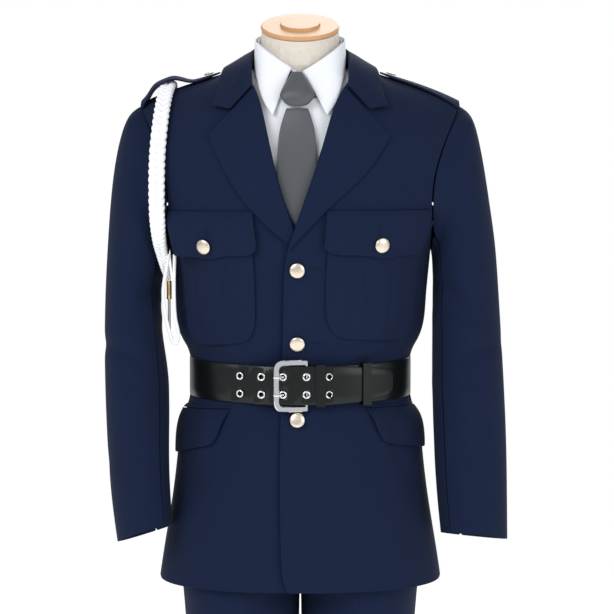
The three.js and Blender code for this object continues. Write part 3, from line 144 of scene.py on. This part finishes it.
LOOKS = make_materials()
SLOTS = {row["node"]: row["material_slot"] for row in frame["record"]["subparts"]}

# ---- Creases, in millimetres: from one point to another as seen from the front ----------------------

# side is -1 for the front and 1 for the back; rise is out of the cloth.
# The two grooves of each breast pocket's box pleat.
POCKET_PLEATS = [
    {"side": -1, "from": (-139, 1184), "to": (-132, 1086), "wide": 2.6, "rise": -1.1},
    {"side": -1, "from": (-97, 1184), "to": (-105, 1086), "wide": 2.6, "rise": -1.1},
    {"side": -1, "from": (82, 1184), "to": (88, 1086), "wide": 2.6, "rise": -1.1},
    {"side": -1, "from": (122, 1184), "to": (115, 1086), "wide": 2.6, "rise": -1.1},
]
TORSO_FOLDS = POCKET_PLEATS + [
    {"side": -1, "from": (-128, 1068), "to": (-66, 1046), "wide": 7, "rise": 2.2},
    {"side": -1, "from": (-150, 1108), "to": (-96, 1050), "wide": 9, "rise": -2.4},
    {"side": -1, "from": (128, 1072), "to": (60, 1047), "wide": 8, "rise": 2.4},
    {"side": -1, "from": (152, 1116), "to": (104, 1050), "wide": 10, "rise": -2.2},
    {"side": -1, "from": (30, 1064), "to": (38, 1047), "wide": 6, "rise": 1.6},
    {"side": -1, "from": (-40, 1066), "to": (-36, 1046), "wide": 7, "rise": 1.5},
    {"side": -1, "from": (-120, 984), "to": (-134, 900), "wide": 10, "rise": 1.8},
    {"side": -1, "from": (-70, 984), "to": (-66, 850), "wide": 16, "rise": 1.8},
    {"side": -1, "from": (58, 984), "to": (66, 830), "wide": 18, "rise": 2.0},
    {"side": -1, "from": (122, 984), "to": (138, 880), "wide": 12, "rise": -1.8},
    {"side": -1, "from": (-150, 1236), "to": (-120, 1330), "wide": 14, "rise": -2.2},
    {"side": -1, "from": (152, 1240), "to": (128, 1340), "wide": 15, "rise": -2.4},
    {"side": 1, "from": (-90, 1130), "to": (-60, 1046), "wide": 12, "rise": 2.6},
    {"side": 1, "from": (84, 1140), "to": (58, 1046), "wide": 13, "rise": 2.8},
    {"side": 1, "from": (-20, 1110), "to": (-12, 1047), "wide": 10, "rise": -2.2},
    {"side": 1, "from": (30, 984), "to": (46, 860), "wide": 16, "rise": 2.2},
    {"side": 1, "from": (-60, 984), "to": (-80, 840), "wide": 18, "rise": 2.4},
    {"side": 1, "from": (-150, 1250), "to": (-70, 1300), "wide": 16, "rise": -2.2},
    {"side": 1, "from": (150, 1240), "to": (76, 1296), "wide": 18, "rise": -2.4},
]
SLEEVE_FOLDS = [
    {"side": -1, "from": (176, 1150), "to": (214, 1112), "wide": 9, "rise": -3.0},
    {"side": -1, "from": (178, 1096), "to": (236, 1078), "wide": 10, "rise": 3.0},
    {"side": -1, "from": (262, 1064), "to": (196, 1040), "wide": 9, "rise": -3.4},
    {"side": -1, "from": (178, 1010), "to": (240, 990), "wide": 11, "rise": 2.6},
    {"side": -1, "from": (186, 940), "to": (250, 900), "wide": 14, "rise": -2.4},
    {"side": -1, "from": (216, 1340), "to": (206, 1220), "wide": 14, "rise": -2.2},
    {"side": 1, "from": (184, 1080), "to": (250, 1052), "wide": 11, "rise": 3.2},
    {"side": 1, "from": (190, 1020), "to": (256, 1010), "wide": 12, "rise": -3.0},
    {"side": 1, "from": (200, 1230), "to": (236, 1130), "wide": 14, "rise": 2.4},
]
TROUSER_FOLDS = [
    {"side": -1, "from": (70, 740), "to": (68, 44), "wide": 3.5, "rise": 3.2},
    {"side": 1, "from": (70, 740), "to": (68, 44), "wide": 3.5, "rise": 3.2},
    {"side": -1, "from": (20, 740), "to": (110, 690), "wide": 12, "rise": -2.6},
    {"side": -1, "from": (36, 420), "to": (110, 380), "wide": 16, "rise": 3.0},
    {"side": 1, "from": (30, 400), "to": (100, 440), "wide": 16, "rise": -3.0},
]


FOLD_DEPTH = 1.7
# A fold fades over this many millimetres where the front turns into the back.
FRONT_BLEND = 8
# The half of a fold, along it, that keeps its whole rise, and how fast the rest dies away.
WHOLE_RISE = 0.35
FADE = 4


def fold_rise(folds, x, y, z):
    """How far the folds move a point out of the cloth, in millimetres."""
    total = 0.0
    for fold in folds:
        reach = 1 / (1 + math.exp(-fold["side"] * y / FRONT_BLEND))
        (x0, z0), (x1, z1) = fold["from"], fold["to"]
        dx, dz = x1 - x0, z1 - z0
        length = math.hypot(dx, dz)
        along = ((x - x0) * dx + (z - z0) * dz) / length**2
        away = abs((x - x0) * dz - (z - z0) * dx) / length
        beyond = max(0.0, abs(along - 0.5) * 2 - WHOLE_RISE)
        taper = math.exp(-(beyond**2) * FADE)
        total += reach * taper * FOLD_DEPTH * fold["rise"] * math.exp(-((away / fold["wide"]) ** 2))
    return total


def push(mesh, folds, axis_x=0.0, mirror=1.0):
    """Moves a piece's points out by its folds, both faces alike, so that its thickness stays."""
    for vertex in mesh.vertices:
        x, y, z = (c / MM for c in vertex.co)
        rise = fold_rise(folds, x * mirror, y, z)
        out = Vector((x - axis_x, y, 0)).normalized()
        vertex.co += out * rise * MM


# ---- Pieces ----------------------------------------------------------------------------------------


WELD_DISTANCE = 0.01 * MM
QUAD_BEND = math.radians(40)
QUAD_SHEAR = math.radians(60)
RIM_CREASE = 0.9


def rounded(node, levels, crease_angle=50):
    """A fine smooth mesh on a node's form, its rims kept crisp."""
    source = frame["nodes"][node]
    mesh = source.data.copy()
    mesh.name = f"{node}_piece"
    work = bmesh.new()
    work.from_mesh(mesh)
    bmesh.ops.remove_doubles(work, verts=work.verts, dist=WELD_DISTANCE)
    bmesh.ops.join_triangles(
        work,
        faces=work.faces,
        angle_face_threshold=QUAD_BEND,
        angle_shape_threshold=QUAD_SHEAR,
    )
    crease = work.edges.layers.float.new("crease_edge")
    for edge in work.edges:
        sharp = len(edge.link_faces) == 2 and edge.calc_face_angle() > math.radians(crease_angle)
        edge[crease] = RIM_CREASE if sharp else 0.0
    work.to_mesh(mesh)
    work.free()
    piece = bpy.data.objects.new(mesh.name, mesh)
    bpy.context.scene.collection.objects.link(piece)
    modifier = piece.modifiers.new("fine", "SUBSURF")
    modifier.levels = levels
    modifier.render_levels = levels
    fine = bpy.data.meshes.new_from_object(piece.evaluated_get(bpy.context.evaluated_depsgraph_get()))
    piece.modifiers.clear()
    piece.data = fine
    fine.shade_smooth()
    return piece


def dress(piece, node):
    """Gives a piece its material, hangs it on the root body and hides the node it stands in for."""
    piece.data.materials.clear()
    piece.data.materials.append(LOOKS[SLOTS[node]])
    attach(piece, "root")
    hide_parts(node)


def cloth(node, levels=2, folds=(), axis_x=0.0, mirror=1.0):
    piece = rounded(node, levels)
    if folds:
        push(piece.data, folds, axis_x, mirror)
    dress(piece, node)
    return piece


# How far a sleeve's and a trouser leg's own middle stand from the body's middle, in millimetres.
SLEEVE_AXIS = 215
LEG_AXIS = 70


def make_coat():
    for side, sign in (("left", 1), ("right", -1)):
        for part in ("coat_front", "coat_back"):
            cloth(f"{part}_{side}", 3, TORSO_FOLDS)
        for part in ("lapel", "breast_pocket", "breast_flap", "lower_flap", "lower_welt"):
            cloth(f"{part}_{side}", 3, TORSO_FOLDS)
        cloth(f"epaulette_{side}", 3)
        for part in ("sleeve_top", "sleeve_under"):
            cloth(f"{part}_{side}", 3, SLEEVE_FOLDS, axis_x=sign * SLEEVE_AXIS, mirror=sign)
    cloth("collar", 3)


def make_shirt_and_tie():
    fronts = ("shirt_front_left", "shirt_front_right")
    shirt = (*fronts, "shirt_back", "shirt_collar_leaf", "shirt_collar_stand")
    for node in shirt:
        cloth(node, 2)
    for node in ("tie_blade", "tie_neck_band"):
        cloth(node, 2)
    dress(rounded("tie_knot", 3), "tie_knot")


def make_trousers():
    for side, sign in (("left", 1), ("right", -1)):
        for face in ("front", "back"):
            node = f"trouser_{face}_{side}"
            cloth(node, 3, TROUSER_FOLDS, axis_x=sign * LEG_AXIS, mirror=sign)
    cloth("trouser_waistband", 2)


CLOTH_STEMS = (
    "coat", "lapel", "breast_pocket", "breast_flap", "lower", "sleeve", "collar", "shirt", "tie", "trouser",
)


def carry_over():
    """The hard pieces keep their own solids, with their materials on them."""
    for node, piece in frame["nodes"].items():
        is_cloth = node.startswith(CLOTH_STEMS) or node in ("epaulette_left", "epaulette_right")
        is_replaced = node.startswith("lanyard") or "button" in node or node == "belt_strap"
        if is_cloth or is_replaced:
            continue
        piece.data.materials.clear()
        piece.data.materials.append(LOOKS[SLOTS[node]])


BUTTON_RIM_ANGLE = 70


def make_buttons():
    for node in frame["nodes"]:
        if "button" in node:
            dress(rounded(node, 2, BUTTON_RIM_ANGLE), node)


# ---- Belt details ----------------------------------------------------------------------------------

EYELET_X = (-78, -50, -22, 8.4, 37.8)
EYELET_UP = 11.5
BELT_Z = 1013
# The strap is felt for beside the hole, and the ring sits a little into it.
BESIDE_HOLE = 7.5
RING_SINK = 0.2
RING_RADIUS = 4.1
RING_THICK = 1.2
BEFORE_THE_BELT = -300


def ring_at(name, centre, normal, radius, thick):
    bpy.ops.mesh.primitive_torus_add(
        major_radius=radius, minor_radius=thick, major_segments=32, minor_segments=10,
        location=centre, rotation=normal.to_track_quat("Z", "Y").to_euler(),
    )
    piece = bpy.context.object
    piece.name = name
    bpy.ops.object.transform_apply(location=True, rotation=True, scale=True)
    piece.data.shade_smooth()
    return piece


def make_strap():
    """The leather strap, its curve round the waist made smooth."""
    dress(rounded("belt_strap", 2), "belt_strap")


def make_eyelets():
    """Rings pressed into the tongue, found on the strap's own front face."""
    strap = frame["nodes"]["belt_strap"]
    rings = []
    for x in EYELET_X:
        for up in (-EYELET_UP, EYELET_UP):
            probe = Vector((x + BESIDE_HOLE, BEFORE_THE_BELT, BELT_Z + up)) * MM
            hit, place, normal, _ = strap.ray_cast(probe, Vector((0, 1, 0)))
            if not hit:
                continue
            centre = Vector((x * MM, place.y, (BELT_Z + up) * MM)) - normal * RING_SINK * MM
            name = f"eyelet_{len(rings) + 1}"
            rings.append(ring_at(name, centre, normal, RING_RADIUS * MM, RING_THICK * MM))
    for piece in rings:
        piece.data.materials.append(LOOKS["chrome"])
        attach(piece, "root")


# ---- Lanyard ---------------------------------------------------------------------------------------

# The plait's route, down from under the right epaulette, with half its width.
PLAIT = [
    ((-172, 17, 1396.5), 10), ((-172, 0, 1399.5), 10), ((-173, -21, 1397), 10), ((-176, -49, 1382), 10),
    ((-180, -72, 1351), 10.2), ((-183.5, -82, 1310), 10.4), ((-184.5, -86.5, 1268), 10.4),
    ((-184, -85, 1228), 10), ((-182, -76, 1200), 9), ((-179, -66, 1180), 7.5), ((-175, -61.5, 1160), 5.5),
    ((-171, -60, 1146), 3.4),
]
CORD_LOOP = [
    (-162.5, -68, 1180), (-163.5, -69, 1140), (-162.5, -68, 1102), (-158.5, -66.5, 1080),
    (-158.5, -66, 1069),
    (-163, -66, 1063.5), (-168, -66.5, 1073), (-175, -68, 1102), (-177.5, -69, 1132), (-173, -69, 1163),
    (-169.5, -68, 1180),
]
PLAIT_PITCH = 26.0
STRANDS = 4
# A strand's swing and thickness as shares of half the plait's width, and its rise over the next one.
STRAND_SWING = 0.68
STRAND_RADIUS = 0.36
STRAND_RISE = 1.7
LOOP_RADIUS = 2.3


def through(points, t):
    """A point of the smooth line through a list of points, t from 0 to 1."""
    last = len(points) - 1
    at = min(max(t, 0), 1) * last
    i = min(last - 1, int(at))
    u = at - i
    p1, p2 = points[i], points[i + 1]
    p0 = points[i - 1] if i > 0 else p1 * 2 - p2
    p3 = points[i + 2] if i < last - 1 else p2 * 2 - p1
    return (
        p1 * 2 + (p2 - p0) * u + (p0 * 2 - p1 * 5 + p2 * 4 - p3) * u**2 + (p1 * 3 - p0 - p2 * 3 + p3) * u**3
    ) * 0.5


def tube(name, lines, radii, sides=10):
    """One mesh of tubes round lines of points."""
    work = bmesh.new()
    for line, radius_at in zip(lines, radii):
        rings = []
        for i, point in enumerate(line):
            ahead = (line[min(i + 1, len(line) - 1)] - line[max(i - 1, 0)]).normalized()
            if i == 0:
                first = ahead.orthogonal().normalized()
            else:
                first = (first - ahead * first.dot(ahead)).normalized()
            second = ahead.cross(first)
            radius = radius_at(i / (len(line) - 1))
            turns = (2 * math.pi * k / sides for k in range(sides))
            rings.append([
                work.verts.new(point + (first * math.cos(a) + second * math.sin(a)) * radius) for a in turns
            ])
        for low, high in zip(rings, rings[1:]):
            for k in range(sides):
                work.faces.new((low[k], low[(k + 1) % sides], high[(k + 1) % sides], high[k]))
        work.faces.new(rings[0][::-1])
        work.faces.new(rings[-1])
    mesh = bpy.data.meshes.new(name)
    work.to_mesh(mesh)
    work.free()
    mesh.shade_smooth()
    piece = bpy.data.objects.new(name, mesh)
    bpy.context.scene.collection.objects.link(piece)
    return piece


def line_length(line):
    return sum((b - a).length for a, b in zip(line, line[1:]))


def make_lanyard():
    middle = [Vector(at) * MM for at, _ in PLAIT]
    halves = [Vector((half, 0, 0)) for _, half in PLAIT]
    centre = [through(middle, i / 60) for i in range(61)]
    length = line_length(centre)
    steps = 420
    lines = []
    for strand in range(STRANDS):
        line = []
        for i in range(steps + 1):
            t = i / steps
            at = through(middle, t)
            ahead = (through(middle, min(1, t + 0.01)) - through(middle, max(0, t - 0.01))).normalized()
            wide = (Vector((1, 0, 0)) - ahead * ahead.x).normalized()
            deep = wide.cross(ahead)
            half = through(halves, t).x * MM
            phase = 2 * math.pi * (t * length / MM / PLAIT_PITCH + strand / STRANDS)
            across = wide * math.sin(phase) * half * STRAND_SWING
            over = deep * math.sin(2 * phase) * STRAND_RISE * MM
            line.append(at + across + over)
        lines.append(line)
    thick = lambda t: STRAND_RADIUS * through(halves, t).x * MM
    plait = tube("plait", lines, [thick] * STRANDS)
    dress(plait, "lanyard_plait")
    loop_points = [Vector(p) * MM for p in CORD_LOOP]
    loop_line = [through(loop_points, i / 120) for i in range(121)]
    loop = tube("cord_loop", [loop_line], [lambda t: LOOP_RADIUS * MM], 12)
    dress(loop, "lanyard_cord")
    for node in ("lanyard_ferrule", "lanyard_clip"):
        dress(rounded(node, 2), node)


# Where each buttonhole lies, which piece it is worked in, and which way it runs.
BUTTONHOLES = [
    ("coat_front_left", (12, 1164), (26, 1164)),
    ("coat_front_left", (12, 1068.5), (26, 1068.5)),
    ("breast_flap_left", (102, 1208), (102, 1220)),
    ("breast_flap_right", (-118.8, 1206.5), (-118.8, 1218.5)),
]


BEFORE_THE_COAT = -400
THREAD_LIFT = 0.3
THREAD_RADIUS = 0.9


def make_buttonholes():
    """Corded buttonholes in the coat's own thread, laid on the cloth under them."""
    for number, (node, start, end) in enumerate(BUTTONHOLES, 1):
        cloth_piece = bpy.data.objects[f"{node}_piece"]
        line = []
        for step in range(9):
            x = start[0] + (end[0] - start[0]) * step / 8
            z = start[1] + (end[1] - start[1]) * step / 8
            probe = Vector((x, BEFORE_THE_COAT, z)) * MM
            hit, place, normal, _ = cloth_piece.ray_cast(probe, Vector((0, 1, 0)))
            if hit:
                line.append(place + normal * THREAD_LIFT * MM)
        if len(line) < 3:
            continue
        hole = tube(f"buttonhole_{number}", [line], [lambda t: THREAD_RADIUS * MM], 8)
        hole.data.materials.append(LOOKS["navy_cloth"])
        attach(hole, "root")


# ---- Light and backdrop ----------------------------------------------------------------------------


def area_light(name, place, aim, size, watts):
    data = bpy.data.lights.new(name, "AREA")
    data.size = size
    data.energy = watts
    light = bpy.data.objects.new(name, data)
    bpy.context.scene.collection.objects.link(light)
    light.location = place
    light.rotation_euler = (Vector(aim) - Vector(place)).to_track_quat("-Z", "Y").to_euler()


def make_room():
    bpy.ops.mesh.primitive_plane_add(size=8, location=(0, 0, -0.0005))
    floor = bpy.context.object
    floor.name = "floor"
    pale = material("floor", (0.85, 0.85, 0.85), 0.9)
    pale.node_tree.nodes["Principled BSDF"].inputs["Emission Color"].default_value = (1, 1, 1, 1)
    pale.node_tree.nodes["Principled BSDF"].inputs["Emission Strength"].default_value = 0.5
    floor.data.materials.append(pale)
    world = bpy.data.worlds.new("world")
    bpy.context.scene.world = world
    world.use_nodes = True
    nodes, links = world.node_tree.nodes, world.node_tree.links
    background = nodes["Background"]
    background.inputs["Color"].default_value = (0.95, 0.97, 1, 1)
    background.inputs["Strength"].default_value = 0.62
    backdrop = nodes.new("ShaderNodeBackground")
    backdrop.inputs["Color"].default_value = (1, 1, 1, 1)
    path = nodes.new("ShaderNodeLightPath")
    choose = nodes.new("ShaderNodeMixShader")
    links.new(path.outputs["Is Camera Ray"], choose.inputs["Fac"])
    links.new(background.outputs["Background"], choose.inputs[1])
    links.new(backdrop.outputs["Background"], choose.inputs[2])
    links.new(choose.outputs["Shader"], nodes["World Output"].inputs["Surface"])
    area_light("key", (-1.8, -2.6, 2.9), (0, 0, 1.15), 1.6, 58)
    area_light("fill", (2.2, -2.4, 1.9), (0, 0, 1.1), 1.8, 30)
    area_light("back", (0.4, 2.4, 2.6), (0, 0, 1.2), 1.6, 45)
    bpy.context.scene.view_settings.view_transform = "Standard"


make_lanyard()
make_coat()
make_shirt_and_tie()
make_trousers()
make_buttons()
carry_over()
make_eyelets()
make_strap()
make_buttonholes()
make_room()
